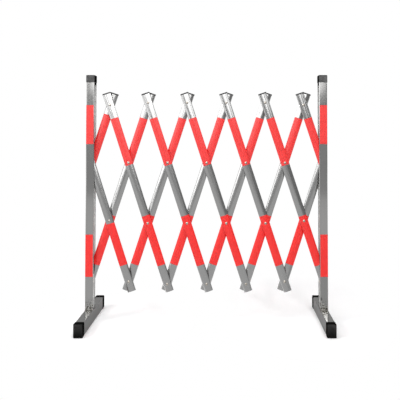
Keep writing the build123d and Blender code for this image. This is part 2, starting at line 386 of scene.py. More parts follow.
def dome(radius, base, height, steps=8):
    """Profile of a domed head that stands on a base, from its rim to its crown."""
    ball = (radius**2 + height**2) / (2 * abs(height))
    half = atan2(radius, ball - abs(height))
    side = 1 if height > 0 else -1
    centre = base + height - side * ball
    flat = 0.04 * half
    turns = np.linspace(half, flat, steps)
    return [(ball * sin(turn), centre + side * ball * cos(turn)) for turn in turns]


def rounded_rim(grow, place, radius, wear):
    """Growth, place and wear along a rounded outer edge, and just inside it on the end face."""
    turns = np.linspace(0, pi / 2, ROUND_STEPS)
    rows = [(grow - radius * (1 - cos(turn)), place + radius * sin(turn), wear) for turn in turns]
    return [*rows, (grow - radius - SUPPORT, place + radius, 0.3)]


# The lattice

Bar = namedtuple("Bar", "name side count high_row low_row held_row")


def lattice():
    """Every bar, counted from its layer's own left end, with the rows that it spans and the one in a post."""
    bars = []
    for layer, side in (("front", 1), ("rear", -1)):
        for count in range(LAST_BAR + 1):
            number = count + 1 if side > 0 else LAST_BAR + 1 - count
            high = UPPER if count == 0 else TOP
            low = UPPER if count == LAST_BAR else BOTTOM
            held = {0: UPPER, LAST_BAR: UPPER, LAST_BAR - 1: BOTTOM}.get(count)
            bars.append(Bar(f"{layer}_bar_{number}", side, count, high, low, held))
    return bars


def set_in(count):
    """How far an end bar is moved along the bars that cross it. A shoe stands one bar farther out."""
    if count < 0:
        return END_INSET
    if count == 0:
        return END_INSET / 2
    return -END_INSET / 2 if count == LAST_BAR else 0.0


def crossing_count(bar, row):
    """The bar of the other layer at a row, counted in that layer."""
    return LAST_BAR - bar.count + row


def station(bar, row):
    """Distance of a rivet from the bar's own upper row point, along the bar."""
    return row * RIVET_PITCH + set_in(crossing_count(bar, row))


def bar_middle(bar):
    """Place and height of a bar's own upper row point."""
    along = (2 * bar.count - LAST_BAR) * HALF_PITCH + set_in(bar.count) * sin(LEAN)
    return bar.side * along, PIVOT[2] + set_in(bar.count) * cos(LEAN)


def in_bar(sizes, bar, section, along):
    """Points of a bar's section at distances along it, in the row frame."""
    across = np.array([bar.side * cos(LEAN), 0, sin(LEAN)])
    inward = np.array([0, bar.side, 0])
    up = np.array([-bar.side * sin(LEAN), 0, cos(LEAN)])
    place, height = bar_middle(bar)
    centre = np.array([place, -bar.side * (sizes.layer_gap + sizes.bar_depth) / 2, height])
    along = np.broadcast_to(along, len(section))
    return centre + np.outer(section[:, 0], across) + np.outer(section[:, 1], inward) + np.outer(along, up)


def bar_ends(sizes, bar, across):
    """Low and high end of a bar at each point across it. An end in a post is rounded about its pivot."""
    nose = np.sqrt(sizes.nose_radius**2 - np.minimum(np.abs(across), sizes.nose_radius) ** 2)
    level = np.full(len(across), -set_in(bar.count))
    low = level + bar.low_row * RIVET_PITCH - sizes.bottom_overhang
    high = level + bar.high_row * RIVET_PITCH + sizes.top_overhang
    if bar.held_row == bar.low_row:
        low = station(bar, bar.low_row) - nose
    if bar.held_row == bar.high_row:
        high = station(bar, bar.high_row) + nose
    return low, high


def band_spans(sizes, bar):
    """Low and high ends of a bar's red bands. Two of them are stuck on higher or lower than the rest."""
    spans = []
    level = -set_in(bar.count)
    if bar.high_row == TOP:
        raised = sizes.raised_band if bar.name == "rear_bar_1" else 0.0
        spans.append((level - sizes.upper_band_below, level + sizes.upper_band_above + raised))
    if bar.low_row == BOTTOM:
        lowered = sizes.lowered_band if bar.name == "front_bar_1" else 0.0
        middle = level + LOWER * RIVET_PITCH
        spans.append((middle - sizes.lower_band_below, middle + sizes.lower_band_above - lowered))
    return spans


def sleeve(skin, sizes, bar, inner, outer, bevel, span=None, flow_start=0.0):
    """A tube round a bar's section, between two growths of it, as long as the bar or as a span of it."""
    shares = [0.0, 0.004, 0.012, 0.03, 0.06, *np.linspace(0.1, 0.9, 17), 0.94, 0.97, 0.988, 0.996, 1.0]
    rows = [(inner, 0.0, bevel), (inner + bevel, 0.0, 0.0), (outer - bevel, 0.0, 0.0)]
    rows += [(outer, s, bevel * (1 - 2 * s)) for s in shares]
    rows += [(outer - bevel, 1.0, 0.0), (inner + bevel, 1.0, 0.0), (inner, 1.0, -bevel)]
    loops, along, rub = [], [], []
    for grow, share_along, shift in rows:
        section = oval_loop(sizes, grow)
        low, high = bar_ends(sizes, bar, section[:, 0])
        if span:
            low = np.maximum(span[0], low)
            high = np.minimum(span[1], high)
        distance = low + (high - low) * share_along + shift
        loops.append(in_bar(sizes, bar, section, distance))
        along.append(distance + flow_start)
        rub.append(np.exp(-np.minimum(distance - low, high - distance) / RUB_REACH))
    skin.add(loops, around=lengths_round(oval_loop(sizes, outer)), along=along, rub=rub)


# Node trees


def put(tree, kind, inputs=None, **settings):
    """Adds a node, with its settings, and with sockets or values for its inputs."""
    node = tree.nodes.new(kind)
    for key, value in settings.items():
        setattr(node, key, value)
    for key, value in (inputs or {}).items():
        if isinstance(value, bpy.types.NodeSocket):
            tree.links.new(value, node.inputs[key])
        else:
            node.inputs[key].default_value = value
    return node


def out_of(tree, kind, inputs=None, **settings):
    """Adds a node and returns its first output."""
    return put(tree, kind, inputs, **settings).outputs[0]


def join(tree, sockets, values):
    """Links an output to each named socket."""
    for key, value in values.items():
        tree.links.new(value, sockets[key])


def maths(tree, operation, first, second, clamp=False):
    return out_of(tree, "ShaderNodeMath", {0: first, 1: second}, operation=operation, use_clamp=clamp)


def plus(tree, first, second, clamp=False):
    return maths(tree, "ADD", first, second, clamp)


def times(tree, first, second, clamp=False):
    return maths(tree, "MULTIPLY", first, second, clamp)


def swing(tree, value, amount):
    """How far a noise stands from its middle, times an amount."""
    return times(tree, maths(tree, "SUBTRACT", value, 0.5), amount)


def ranged(tree, value, low, high, to_low=0.0, to_high=1.0):
    """A value taken smoothly from one range to another."""
    inputs = {"Value": value, "From Min": low, "From Max": high, "To Min": to_low, "To Max": to_high}
    return out_of(tree, "ShaderNodeMapRange", inputs, interpolation_type="SMOOTHSTEP")


def mixed(tree, factor, first, second, blend="MIX"):
    inputs = {0: factor, 6: first, 7: second}
    return put(tree, "ShaderNodeMix", inputs, data_type="RGBA", blend_type=blend).outputs[2]


def noise(tree, vector, scale, detail=3.0, roughness=0.55):
    inputs = {"Vector": vector, "Scale": scale, "Detail": detail, "Roughness": roughness}
    return put(tree, "ShaderNodeTexNoise", inputs).outputs["Fac"]


def bumped(tree, height, strength, distance):
    return out_of(tree, "ShaderNodeBump", {"Height": height, "Strength": strength, "Distance": distance})


def object_place(tree):
    return put(tree, "ShaderNodeTexCoord").outputs["Object"]


def height_of(tree, place):
    return put(tree, "ShaderNodeSeparateXYZ", {0: place}).outputs["Z"]


def mesh_value(tree, name):
    return put(tree, "ShaderNodeAttribute", attribute_name=name).outputs["Fac"]


def opaque(rgb):
    return (*rgb, 1.0)


def new_group(kind, name, inputs, outputs):
    """A node group with named sockets, and its input and output nodes."""
    tree = bpy.data.node_groups.new(name, kind)
    for way, sockets in (("INPUT", inputs), ("OUTPUT", outputs)):
        for socket, sort in sockets.items():
            tree.interface.new_socket(socket, in_out=way, socket_type=f"NodeSocket{sort}")
    return tree, put(tree, "NodeGroupInput").outputs, put(tree, "NodeGroupOutput").inputs


def drawn_grain(name):
    """Fine lines left by drawing and brushing, over a soft mottle."""
    inputs = {"Place": "Vector", "Grain Place": "Vector", "Colour": "Color", "Roughness": "Float"}
    inputs |= {"Streak": "Float", "Mottle": "Float"}
    outputs = {"Colour": "Color", "Roughness": "Float", "Height": "Float"}
    tree, given, result = new_group("ShaderNodeTree", name, inputs, outputs)
    streak = noise(tree, given["Grain Place"], 1.0, 4.0, 0.62)
    broad = noise(tree, given["Grain Place"], 0.12, 2.0, 0.5)
    mottle = noise(tree, given["Place"], 22.0, 4.0, 0.6)
    scratch = ranged(tree, noise(tree, given["Grain Place"], 0.45, 2.0, 0.4), 0.64, 0.74)
    lines = plus(tree, swing(tree, streak, given["Streak"]), swing(tree, broad, given["Streak"]))
    change = plus(tree, lines, swing(tree, mottle, given["Mottle"]))
    level = plus(tree, change, 1.0)
    shade = out_of(tree, "ShaderNodeCombineColor", {0: level, 1: level, 2: level})
    values = {
        "Colour": mixed(tree, 1.0, given["Colour"], shade, "MULTIPLY"),
        "Roughness": plus(tree, given["Roughness"], times(tree, change, -0.25), True),
        "Height": maths(tree, "SUBTRACT", streak, times(tree, scratch, 0.5)),
    }
    join(tree, result, values)
    return tree


def marks_and_dust(name):
    """Smudges and floor dust: a soft mask that grows towards the floor. On the posts' steel it also carries a
    painted reflection of the dark feet.
    """
    inputs = {"Place": "Vector", "Amount": "Float", "Dust Height": "Float"}
    tree, given, result = new_group("ShaderNodeTree", name, inputs, {"Mask": "Float", "Dust": "Float"})
    smudge = ranged(tree, noise(tree, given["Place"], 13.0, 6.0, 0.65), 0.5, 0.78)
    rise = maths(tree, "DIVIDE", height_of(tree, given["Place"]), given["Dust Height"])
    lower = maths(tree, "SUBTRACT", 1.0, rise, True)
    grit = ranged(tree, noise(tree, given["Place"], 160.0, 5.0, 0.7), 0.38, 0.7)
    dust = times(tree, times(tree, lower, lower), grit)
    for key, mask in (("Mask", smudge), ("Dust", dust)):
        tree.links.new(times(tree, mask, given["Amount"], True), result[key])
    return tree


def mould_grain(name):
    """The fine pebble that a mould leaves on plastic."""
    inputs = {"Place": "Vector", "Size": "Float", "Roughness": "Float"}
    tree, given, result = new_group("ShaderNodeTree", name, inputs, {"Height": "Float", "Roughness": "Float"})
    cells = put(tree, "ShaderNodeTexVoronoi", {"Vector": given["Place"], "Scale": given["Size"]})
    height = plus(tree, cells.outputs["Distance"], noise(tree, given["Place"], 420.0))
    wide = swing(tree, noise(tree, given["Place"], 35.0), 0.3)
    join(tree, result, {"Height": height, "Roughness": plus(tree, given["Roughness"], wide, True)})
    return tree


def use_group(tree, make, name, inputs):
    """Adds a shared group, made at its first use."""
    group = bpy.data.node_groups.get(name) or make(name)
    return put(tree, "ShaderNodeGroup", inputs, node_tree=group).outputs


def use_marks(tree, place, amount, dust_height):
    inputs = {"Place": place, "Amount": amount, "Dust Height": dust_height}
    return use_group(tree, marks_and_dust, "Marks And Dust", inputs)


def new_tree(holder, output="ShaderNodeOutputMaterial"):
    """The emptied tree of a material or world, and its output's surface socket."""
    holder.use_nodes = True
    tree = holder.node_tree
    tree.nodes.clear()
    return tree, put(tree, output).inputs["Surface"]


def new_finish(name, **values):
    """A material with one Principled shader, whose plain values are set on its own sockets."""
    finish = bpy.data.materials.new(name)
    tree, surface = new_tree(finish)
    shader = put(tree, "ShaderNodeBsdfPrincipled", {key.replace("_", " "): values[key] for key in values})
    tree.links.new(shader.outputs[0], surface)
    return finish, tree, shader.inputs


def rub_mask(tree, place, scale, low, high):
    """The mesh's own rub attribute, broken up by noise."""
    broken = times(tree, mesh_value(tree, "rub"), noise(tree, place, scale, 4.0))
    return ranged(tree, broken, low, high)


def steel_finish(
    name, base, roughness, grain, flow=False, streak=0.14, mottle=0.07, dust=0.0, metal=1.0, rim=1.0
):
    """Drawn or brushed steel. The grain runs with the piece's own flow map, or with an axis."""
    finish, tree, shader = new_finish(name, Metallic=metal, Specular_Tint=(rim, rim, rim, 1.0))
    place = object_place(tree)
    run = out_of(tree, "ShaderNodeUVMap", uv_map="Along") if flow else place
    run = out_of(tree, "ShaderNodeMapping", {"Vector": run, "Scale": grain})
    inputs = {"Place": place, "Grain Place": run, "Colour": opaque(base), "Roughness": roughness}
    inputs |= {"Streak": streak, "Mottle": mottle}
    drawn = use_group(tree, drawn_grain, "Drawn Grain", inputs)
    marks = use_marks(tree, place, 0.8, 0.13)
    worn = times(tree, rub_mask(tree, place, 90.0, 0.2, 0.5), 0.35)
    bright = mixed(tree, worn, drawn["Colour"], opaque([1.35 * c for c in base]))
    smudge = times(tree, marks["Mask"], 0.05)
    values = {
        # Near the floor the steel takes a dark brown speckle: partly dust, partly a painted reflection of the
        # dark foot on the posts' bases.
        "Base Color": mixed(tree, times(tree, marks["Dust"], dust), bright, (0.05, 0.045, 0.033, 1.0)),
        "Roughness": plus(tree, drawn["Roughness"], smudge, True),
        "Normal": bumped(tree, drawn["Height"], 0.02, 0.0001),
    }
    join(tree, shader, values)
    return finish


def band_finish(name, base, painted_high_light):
    """Red film, painted paler with height as painted light: fine cells under a clear face, with grime along
    its ends.
    """
    looks = {"Metallic": 0.0, "Coat_Weight": 0.25, "Coat_Roughness": 0.12, "Specular_IOR_Level": 0.4}
    finish, tree, shader = new_finish(name, **looks)
    place = object_place(tree)
    inputs = {"Vector": place, "Scale": 420.0}
    cells = put(tree, "ShaderNodeTexVoronoi", inputs, feature="DISTANCE_TO_EDGE").outputs["Distance"]
    lines = ranged(tree, cells, 0.0, 0.09, 1.0, 0.0)
    cloud = ranged(tree, noise(tree, place, 16.0, 4.0, 0.6), 0.3, 0.7)
    deep = opaque((base[0] * 0.86, base[1] * 0.7, base[2] * 0.7))
    # Painted light: the film is painted paler with height.
    painted_light_by_height = mixed(tree, ranged(tree, height_of(tree, place), 0.35, 0.8), opaque(base), opaque(painted_high_light))
    film = mixed(tree, times(tree, cloud, 0.25), painted_light_by_height, deep)
    celled = mixed(tree, times(tree, lines, 0.12), film, deep)
    grime = times(tree, rub_mask(tree, place, 140.0, 0.22, 0.55), 0.5)
    marks = use_marks(tree, place, 0.6, 0.3)
    values = {
        "Base Color": mixed(tree, grime, celled, (0.30, 0.035, 0.03, 1.0)),
        "Roughness": ranged(tree, marks["Mask"], 0.0, 1.0, 0.36, 0.55),
        "Normal": bumped(tree, lines, 0.15, 0.00005),
    }
    join(tree, shader, values)
    return finish


def plastic_finish(name, base, front, painted_high_light, roughness, size, dust, gloss):
    """Moulded plastic with a fine pebble and floor dust. Painted light: its front and rear faces are painted
    lighter than its sides and tops and paler again with height, and painted darker over their lowest few
    centimetres.
    """
    finish, tree, shader = new_finish(name, Metallic=0.0, Specular_IOR_Level=gloss)
    place = object_place(tree)
    inputs = {"Place": place, "Size": size, "Roughness": roughness}
    pebble = use_group(tree, mould_grain, "Mould Grain", inputs)
    marks = use_marks(tree, place, 0.7, 0.09)
    pale = opaque([min(1.0, 1.9 * c + 0.006) for c in base])
    height = height_of(tree, place)
    # Painted shade and light: front and rear faces are painted darker near the floor and paler high up, while
    # sides and tops keep the darkest black.
    low = mixed(tree, ranged(tree, height, 0.0, 0.062), opaque(base), opaque(front))
    painted_light_by_height = mixed(tree, ranged(tree, height, 0.2, 1.15), low, opaque(painted_high_light))
    painted_light_by_facing = mixed(tree, ranged(tree, mesh_value(tree, "facing"), 0.6, 0.95), opaque(base), painted_light_by_height)
    cloud = ranged(tree, noise(tree, place, 28.0, 4.0), 0.35, 0.75, 0.0, 0.5)
    tone = mixed(tree, cloud, painted_light_by_facing, pale)
    worn = mixed(tree, rub_mask(tree, place, 120.0, 0.2, 0.5), tone, pale)
    values = {
        "Base Color": mixed(tree, times(tree, marks["Dust"], dust), worn, (0.26, 0.24, 0.21, 1.0)),
        "Roughness": pebble["Roughness"],
        "Normal": bumped(tree, pebble["Height"], 0.25, 0.00012),
    }
    join(tree, shader, values)
    return finish


def finish_of(name):
    """The named finish, made once from the scene's own colours."""
    made = bpy.data.materials.get(name)
    if made:
        return made
    look = bpy.context.scene.barrier_finish
    satin = look.post_roughness
    # The posts' strong dark speckle near the floor is partly dust and partly a painted reflection of the dark
    # foot.
    fine = {"streak": 0.08, "mottle": 0.05, "dust": 12.0}
    steels = {
        "Bar Steel": (look.bar_steel, look.bar_roughness, (260.0, 3.0, 1.0), {"flow": True}),
        "Post Steel": (look.post_steel, satin, (260.0, 260.0, 3.0), fine),
        "Inner Zinc": (look.inner_zinc_painted_light, 0.6, (90.0, 90.0, 90.0), {"mottle": 0.3, "metal": 0.2}),
        "Foot Steel": (look.foot_steel, satin, (260.0, 3.0, 260.0), {"dust": 0.2, "rim": 0.5}),
        "Rivet Steel": (look.rivet_steel, 0.34, (300.0, 300.0, 300.0), {"streak": 0.15, "mottle": 0.3}),
        "Weld Steel": (look.weld_steel, 0.42, (500.0, 500.0, 500.0), {"streak": 0.6, "mottle": 1.0}),
    }
    plastics = {
        "Black Plastic": (look.cap_black, look.painted_lit_front_black, look.painted_lit_high_black, 0.55, 900.0, 0.06, 0.0),
        "Nylon": (look.shoe_nylon, look.shoe_nylon, look.shoe_nylon, 0.5, 700.0, 0.1, 0.3),
    }
    if name in steels:
        base, roughness, grain, more = steels[name]
        return steel_finish(name, base, roughness, grain, **more)
    if name in plastics:
        return plastic_finish(name, *plastics[name])
    if name == "Red Film":
        return band_finish(name, look.band_red, look.painted_lit_high_red)
    raise ValueError(f"there is no finish named {name}")


# Geometry Nodes trees


def geometry_group(name, inputs):
    """A tree with a geometry input and output, and named inputs for its sizes and its finish."""
    inputs = {"Geometry": "Geometry", **inputs, "Finish": "Material"}
    return new_group("GeometryNodeTree", name, inputs, {"Geometry": "Geometry"})


def scatter(tree, given, result, inputs):
    """Ends a tree: sets instances on points, makes them real and smooth, and paints them."""
    placed = out_of(tree, "GeometryNodeInstanceOnPoints", inputs)
    real = out_of(tree, "GeometryNodeRealizeInstances", {0: placed})
    smooth = out_of(tree, "GeometryNodeSetShadeSmooth", {"Geometry": real})
    painted = out_of(tree, "GeometryNodeSetMaterial", {"Geometry": smooth, "Material": given["Finish"]})
    tree.links.new(painted, result["Geometry"])
    return tree


def rivet_tree():
    """Sets one of several kinds of rivet on each point, by the point's own kind."""
    tree, given, result = geometry_group("Rivets", {"Kinds": "Collection"})
    inputs = {"Collection": given["Kinds"], "Separate Children": True, "Reset Children": True}
    kinds = out_of(tree, "GeometryNodeCollectionInfo", inputs)
    kind = put(tree, "GeometryNodeInputNamedAttribute", {"Name": "kind"}, data_type="INT")
    inputs = {"Points": given["Geometry"], "Instance": kinds, "Pick Instance": True}
    inputs["Instance Index"] = kind.outputs["Attribute"]
    return scatter(tree, given, result, inputs)


def weld_tree():
    """Lays overlapping ripples along the edges of a path."""
    tree, given, result = geometry_group("Weld Bead", {"Bead": "Float", "Spacing": "Float", "Seed": "Int"})
    path = out_of(tree, "GeometryNodeMeshToCurve", {0: given["Geometry"]})
    inputs = {"Curve": path, "Length": given["Spacing"]}
    dots = out_of(tree, "GeometryNodeResampleCurve", inputs, mode="LENGTH")
    ball = out_of(tree, "GeometryNodeMeshUVSphere", {"Segments": 12, "Rings": 8, "Radius": given["Bead"]})
    tangent = out_of(tree, "GeometryNodeInputTangent")
    facing = out_of(tree, "FunctionNodeAlignRotationToVector", {"Vector": tangent}, axis="X")
    inputs = {"Seed": given["Seed"], 0: (0.62, 0.86, 0.82), 1: (0.78, 1.08, 1.0)}
    uneven = out_of(tree, "FunctionNodeRandomValue", inputs, data_type="FLOAT_VECTOR")
    inputs = {"Points": dots, "Instance": ball, "Rotation": facing, "Scale": uneven}
    return scatter(tree, given, result, inputs)


def rib_tree():
    """Sets an upright rib on each point."""
    tree, given, result = geometry_group("Cap Ribs", {"Radius": "Float", "Height": "Float"})
    inputs = {"Vertices": 12, "Radius": given["Radius"], "Depth": given["Height"]}
    rib = out_of(tree, "GeometryNodeMeshCylinder", inputs)
    return scatter(tree, given, result, {"Points": given["Geometry"], "Instance": rib})


def grown(name, tree, points, edges, values, kinds=()):
    """Runs a tree on points and returns its result as a plain mesh."""
    host = bpy.data.objects.new(f"{name}_host", bpy.data.meshes.new(f"{name}_host"))
    host.data.from_pydata(points, edges, [])
    if kinds:
        host.data.attributes.new("kind", "INT", "POINT").data.foreach_set("value", kinds)
    bpy.context.scene.collection.objects.link(host)
    modifier = host.modifiers.new(tree.name, "NODES")
    modifier.node_group = tree
    sockets = {item.name: item.identifier for item in tree.interface.items_tree if item.in_out == "INPUT"}
    for key, value in values.items():
        modifier[sockets[key]] = value
    evaluated = host.evaluated_get(bpy.context.evaluated_depsgraph_get())
    mesh = bpy.data.meshes.new_from_object(evaluated)
    mesh.name = name
    bpy.data.objects.remove(host)
    if not mesh.polygons:
        raise RuntimeError(f"{name} came out empty")
    return mesh


# Operators


class BARRIER_OT_bars(bpy.types.Operator):
    """Makes the oval tubes of the lattice"""

    bl_idname = "barrier.bars"
    bl_label = "Lattice Bars"

    def execute(self, context):
        sizes = context.scene.barrier_sizes
        for order, bar in enumerate(lattice()):
            skin = Skin()
            sleeve(skin, sizes, bar, -sizes.bar_wall, 0.0, TUBE_BEVEL, flow_start=FLOW_SHIFT * order)
            skin.piece(f"{bar.name}_tube", bar.name, "Bar Steel", "bar_steel", bar.name)
        return {"FINISHED"}


class BARRIER_OT_bands(bpy.types.Operator):
    """Makes the red bands on the bars"""

    bl_idname = "barrier.bands"
    bl_label = "Red Bands"

    def execute(self, context):
        sizes = context.scene.barrier_sizes
        thick = sizes.band_thickness
        for bar in lattice():
            skin = Skin()
            for span in band_spans(sizes, bar):
                sleeve(skin, sizes, bar, BAND_BASE * thick, thick, BAND_BEVEL * thick, span)
            skin.piece(f"{bar.name}_red_bands", bar.name, "Red Film", "red_tape", f"{bar.name}_tapes")
        return {"FINISHED"}


class BARRIER_OT_plugs(bpy.types.Operator):
    """Makes the black plugs in the top ends of the bars"""

    bl_idname = "barrier.plugs"
    bl_label = "Bar Plugs"

    def execute(self, context):
        sizes = context.scene.barrier_sizes
        lip = sizes.plug_lip
        stem = -sizes.bar_wall - sizes.cap_play
        deep = -sizes.plug_stem
        crown = sizes.plug_flange - sizes.plug_round
        rows = [(stem - MOULDED_EDGE, deep, 0.0), (stem, deep + MOULDED_EDGE, 0.0), (stem, 0.0, 0.0)]
        rows += [(lip - FINE_EDGE, 0.0, 0.0), (lip, FINE_EDGE, 0.6), (lip, crown - SUPPORT, 0.6)]
        rows += rounded_rim(lip, crown, sizes.plug_round, 0.8)
        for bar in lattice():
            if bar.high_row != TOP:
                continue
            top = bar.high_row * RIVET_PITCH + sizes.top_overhang - set_in(bar.count)
            loops = [in_bar(sizes, bar, oval_loop(sizes, grow), top + place) for grow, place, _ in rows]
            skin = Skin()
            skin.add(loops, capped=True, rub=[wear for _, _, wear in rows])
            name = f"{bar.name}_black_plug"
            skin.piece(name, bar.name, "Black Plastic", "black_plastic", f"{bar.name}_plug")
        return {"FINISHED"}


def band_under(sizes, bar, row):
    """Thickness of red film under a rivet on a bar."""
    place = station(bar, row)
    reach = sizes.head_radius
    covered = any(low - reach < place < high + reach for low, high in band_spans(sizes, bar))
    return sizes.band_thickness if covered else 0.0


def rivet_kind(sizes, front_film, rear_film, name):
    """Domed head in front, collar between the layers and formed tail behind."""
    shank = sizes.rivet_radius
    half_gap = sizes.layer_gap / 2
    head = -half_gap - sizes.bar_depth - front_film
    tail = half_gap + sizes.bar_depth + rear_film
    profile = dome(sizes.head_radius, head, -sizes.head_height)[::-1]
    profile += [(sizes.head_radius - FINE_EDGE, head), (shank, head)]
    profile += [(shank, front_film - half_gap), (sizes.collar_radius, front_film - half_gap)]
    profile += [(sizes.collar_radius, half_gap - rear_film), (shank, half_gap - rear_film)]
    profile += [(shank, tail), (sizes.tail_radius - FINE_EDGE, tail)]
    profile += dome(sizes.tail_radius, tail, sizes.tail_height)
    skin = Skin()
    skin.add(lathe(profile), capped=True)
    return bpy.data.objects.new(name, skin.mesh(name))


class BARRIER_OT_rivets(bpy.types.Operator):
    """Sets a rivet at every crossing, on the front bars"""

    bl_idname = "barrier.rivets"
    bl_label = "Rivets"

    def execute(self, context):
        sizes = context.scene.barrier_sizes
        bars = lattice()
        film = sizes.band_thickness
        grips = [(0.0, 0.0), (0.0, film), (film, 0.0), (film, film)]
        kinds = bpy.data.collections.new("rivet_kinds")
        for order, (front, rear) in enumerate(grips):
            kinds.objects.link(rivet_kind(sizes, front, rear, f"rivet_kind_{order}"))
        tree = rivet_tree()
        values = {"Kinds": kinds, "Finish": finish_of("Rivet Steel")}
        for bar in (b for b in bars if b.side > 0):
            place, height = bar_middle(bar)
            points, picks = [], []
            for row in range(bar.low_row, bar.high_row + 1):
                if row == bar.held_row:
                    continue
                count = crossing_count(bar, row)
                other = next(b for b in bars if b.side < 0 and b.count == count)
                along = station(bar, row)
                points.append((place - along * sin(LEAN), 0.0, height + along * cos(LEAN)))
                picks.append(grips.index((band_under(sizes, bar, row), band_under(sizes, other, row))))
            name = f"{bar.name}_rivet_set"
            mesh = grown(name, tree, points, [], values, picks)
            add_piece(name, mesh, bar.name, "Rivet Steel", "rivet_steel", f"{bar.name}_rivets")
        for template in list(kinds.objects):
            bpy.data.objects.remove(template)
        bpy.data.collections.remove(kinds)
        return {"FINISHED"}


def channel_loop(sizes, mouth):
    """Section of a post: a square tube with a slot in the side that faces the lattice."""
    width = sizes.post_width
    half_slot = sizes.slot_width / 2

    def opened(grow):
        """The tube's loop from one lip of the slot round to the other."""
        edge = width / 2 + grow
        loop = rounded_loop(width, width, sizes.post_corner, grow)
        kept = [p for p in loop if not (abs(p[0] - edge) < 1e-6 and abs(p[1]) < half_slot)]
        return [(edge, half_slot), *by_turn(kept), (edge, -half_slot)]

    return np.array([*opened(0.0), *opened(-sizes.post_wall)[::-1]]) * (mouth, 1)


class BARRIER_OT_posts(bpy.types.Operator):
    """Makes the slotted posts and their red bands"""

    bl_idname = "barrier.posts"
    bl_label = "Posts"

    def execute(self, context):
        sizes = context.scene.barrier_sizes
        bottom = LEFT_POST_BOX[0].z
        top = LEFT_POST_BOX[1].z
        heights = [bottom, bottom + SUPPORT, *np.linspace(bottom, top, POST_ROWS)[1:-1], top - SUPPORT, top]
        inside = sizes.post_width / 2 - 0.7 * sizes.post_wall
        for side, sign in SIDES:
            body = f"{side}_post"
            centre = np.array([sign * POST_PLACE, 0, 0])
            loop = channel_loop(sizes, -sign)
            skin = Skin()
            skin.add([lift(loop, height) + centre for height in heights], capped=True)
            post = skin.piece(f"{side}_post_channel", body, "Post Steel", "post_steel", body)
            # Painted light: the faces inside the slot take the pale inner zinc, which lifts the shade inside
            # the post.
            post.data.materials.append(finish_of("Inner Zinc"))
            for face in post.data.polygons:
                away = max(abs(face.center.x - centre[0]), abs(face.center.y))
                face.material_index = int(away < inside and abs(face.normal.z) < 0.5)
            self.bands(sizes, side, sign, centre)
        return {"FINISHED"}

    def bands(self, sizes, side, sign, centre):
        """Red film round the three closed sides of a post."""
        thick = sizes.band_thickness
        width = sizes.post_width
        edge = width / 2 - sizes.post_corner - TINY_EDGE

        def strip(grow):
            loop = rounded_loop(width, width, sizes.post_corner, grow)
            half = width / 2 + grow
            return [(edge, half), *by_turn(p for p in loop if p[0] < edge), (edge, -half)]

        outline = np.array([*strip(thick), *strip(BAND_BASE * thick)[::-1]]) * (-sign, 1)
        upper = (sizes.upper_post_band_low, sizes.upper_post_band_high)
        lower = (sizes.lower_post_band_low, sizes.lower_post_band_high)
        steps = (0.0, 0.003, 0.01, 0.03)
        skin = Skin()
        for low, high in (upper, lower):
            heights = [low + step for step in steps] + [high - step for step in reversed(steps)]
            rub = [np.exp(-min(h - low, high - h) / RUB_REACH) for h in heights]
            skin.add([lift(outline, h) + centre for h in heights], capped=True, rub=rub)
        skin.piece(f"{side}_post_red_bands", f"{side}_post", "Red Film", "red_tape", f"{side}_post_tapes")


def foot_frame(points, sign):
    """Turns loops drawn across and up, with a place along the foot, into the row frame."""
    return np.column_stack([points[:, 0] + sign * POST_PLACE, points[:, 2], points[:, 1] + FOOT_MIDDLE])


class BARRIER_OT_feet(bpy.types.Operator):
    """Makes the feet"""

    bl_idname = "barrier.feet"
    bl_label = "Feet"

    def execute(self, context):
        sizes = context.scene.barrier_sizes
        section = (sizes.foot_width, sizes.foot_height, sizes.foot_corner)
        outer = rounded_loop(*section)
        inner = rounded_loop(*section, -sizes.foot_wall)
        front, rear = FOOT_BOX[0].y, FOOT_BOX[1].y
        places = np.linspace(front, rear, FOOT_ROWS)
        rows = [lift(inner, front), *(lift(outer, place) for place in places), lift(inner, rear)]
        for side, sign in SIDES:
            skin = Skin()
            skin.add([foot_frame(row, sign) for row in rows])
            skin.piece(f"{side}_foot_tube", f"{side}_post", "Foot Steel", "post_steel", f"{side}_foot")
        return {"FINISHED"}


def cap_rows(sizes, width, depth, corner, reach, ribbed=False):
    """Loops and wear of a cap over a tube's end, from inside its closed end round to its outer face."""
    inside = sizes.cap_play
    outside = sizes.cap_play + sizes.cap_wall
    shoulder = reach - sizes.cap_round
    rows = [(inside, reach - sizes.cap_top, 0.0), (inside, TINY_EDGE, 0.0), (inside + FINE_EDGE, 0.0, 0.6)]
    rows += [(outside - FINE_EDGE, 0.0, 0.6), (outside, FINE_EDGE, 0.6), (outside, WEAR_FADE, 0.0)]
    rows += [(outside, shoulder - WEAR_FADE, 0.0), (outside, shoulder - SUPPORT, 0.3)]
    rows += rounded_rim(outside, shoulder, sizes.cap_round, 0.7)
    loops = [lift(rounded_loop(width, depth, corner, grow), place) for grow, place, _ in rows]
    wear = [row[2] for row in rows]
    if ribbed:
        border = 2 * sizes.rib_border
        field = rounded_loop(width - border, depth - border, sizes.cap_play)
        loops += [lift(field, reach), lift(field, reach - sizes.rib_depth)]
        wear += [0.3, 0.0]
    return loops, wear


